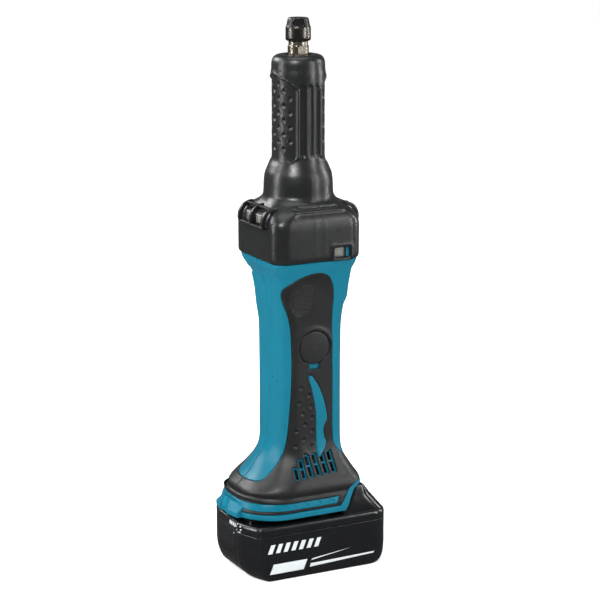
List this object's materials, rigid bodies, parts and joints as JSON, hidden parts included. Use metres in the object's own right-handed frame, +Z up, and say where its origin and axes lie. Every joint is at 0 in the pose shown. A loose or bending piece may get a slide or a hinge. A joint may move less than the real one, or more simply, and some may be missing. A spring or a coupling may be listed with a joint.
{
  "type": "die grinder",
  "caption": "Long-neck cordless die grinder standing on its slide-on battery, with a collet nose, ribbed rubber protector, over-moulded handle and slide switch.",
  "frame": {"origin": "where the spindle axis meets the plane that the battery rests on", "axes": "+Z up the spindle towards the collet, +X along the battery towards its release button (the charge gauge end is -X), +Y across it, out of the housing half that the screws are driven into"},
  "size_m": [0.1188, 0.078, 0.402],
  "materials": {
    "teal_shell": "satin teal moulded plastic",
    "charcoal_grip": "matte charcoal soft overmould",
    "rubber_boot": "satin charcoal rubber",
    "gloss_case": "glossy black plastic",
    "black_plastic": "satin black plastic",
    "bright_steel": "ground and polished steel",
    "dark_steel": "darkened steel",
    "cast_alloy": "as-cast light alloy",
    "copper": "enamelled copper",
    "brass": "brass",
    "carbon": "sintered carbon",
    "ferrite": "matte ferrite",
    "circuit_board": "green board",
    "cell_sleeve": "blue shrink sleeve",
    "gauge_red": "red window"
  },
  "bodies": {
    "tool": {"housing_front": "teal_shell", "housing_rear": "teal_shell", "grip_front": "charcoal_grip", "grip_rear": "charcoal_grip", "rubber_protector": "rubber_boot", "nose_casting": "cast_alloy", "nose_bearing_front": "bright_steel", "nose_bearing_rear": "bright_steel", "bearing_retainer": "dark_steel", "casting_screw_1": "bright_steel", "casting_screw_2": "bright_steel", "casting_screw_3": "bright_steel", "casting_screw_4": "bright_steel", "housing_screw_1": "dark_steel", "housing_screw_2": "dark_steel", "housing_screw_3": "dark_steel", "housing_screw_4": "dark_steel", "housing_screw_5": "dark_steel", "housing_screw_6": "dark_steel", "motor_yoke": "dark_steel", "magnet_left": "ferrite", "magnet_right": "ferrite", "air_baffle": "black_plastic", "armature_bearing_front": "bright_steel", "armature_bearing_rear": "bright_steel", "brush_holder_front": "brass", "brush_holder_rear": "brass", "carbon_brush_front": "carbon", "carbon_brush_rear": "carbon", "brush_spring_front": "bright_steel", "brush_spring_rear": "bright_steel", "brush_cap_front": "black_plastic", "brush_cap_rear": "black_plastic", "holder_cover_front": "black_plastic", "holder_cover_rear": "black_plastic", "switch_unit": "black_plastic", "controller_board": "circuit_board", "terminal_block": "black_plastic"},
    "rotor": {"spindle": "bright_steel", "dust_ring": "dark_steel", "coupling_sleeve": "dark_steel", "armature_shaft": "bright_steel", "armature_core": "dark_steel", "winding_upper": "copper", "winding_lower": "copper", "commutator": "copper", "fan": "black_plastic"},
    "collet": {"collet_cone": "bright_steel"},
    "nut": {"collet_nut": "dark_steel"},
    "switch_slider": {"switch_link": "black_plastic"},
    "knob": {"switch_knob": "black_plastic"},
    "battery": {"battery_case_lower": "gloss_case", "battery_case_upper": "gloss_case", "cell_row_lower": "cell_sleeve", "cell_row_upper": "cell_sleeve", "battery_board": "circuit_board", "gauge_lens": "gauge_red", "button_spring": "bright_steel"},
    "release": {"release_button": "black_plastic"},
    "gauge": {"gauge_button": "black_plastic"}
  },
  "joints": [
    {"name": "spindle_spin", "type": "hinge", "parent": "tool", "child": "rotor", "pos_m": [0, 0, 0.3], "axis": [0, 0, 1], "continuous": true},
    {"name": "collet_lift", "type": "slide", "parent": "rotor", "child": "collet", "axis": [0, 0, 1], "range_m": [0, 0.003]},
    {"name": "nut_turn", "type": "hinge", "parent": "collet", "child": "nut", "pos_m": [0, 0, 0.392], "axis": [0, 0, 1], "range_deg": [0, 1080]},
    {"name": "switch_slide", "type": "slide", "parent": "tool", "child": "switch_slider", "axis": [0, 0, 1], "range_m": [0, 0.008], "stiffness_N_per_m": 120, "springref_m": -0.004},
    {"name": "switch_tilt", "type": "hinge", "parent": "switch_slider", "child": "knob", "pos_m": [0.025, 0, 0.2084], "axis": [0, 1, 0], "range_deg": [0, 3], "stiffness_Nm_per_rad": 0.4, "springref_deg": -1.15},
    {"name": "battery_slide", "type": "slide", "parent": "tool", "child": "battery", "axis": [1, 0, 0], "range_m": [0, 0.095]},
    {"name": "release_press", "type": "slide", "parent": "battery", "child": "release", "axis": [0, 0, -1], "range_m": [0, 0.0028], "stiffness_N_per_m": 900, "springref_m": -0.002, "deforming": ["button_spring"]},
    {"name": "gauge_press", "type": "slide", "parent": "battery", "child": "gauge", "axis": [1, 0, 0], "range_m": [0, 0.0008], "stiffness_N_per_m": 800, "springref_m": -0.0005}
  ],
  "couplings": [
    {"joint": "nut_turn", "follows": "collet_lift", "rad_per_m": 6283.2}
  ]
}
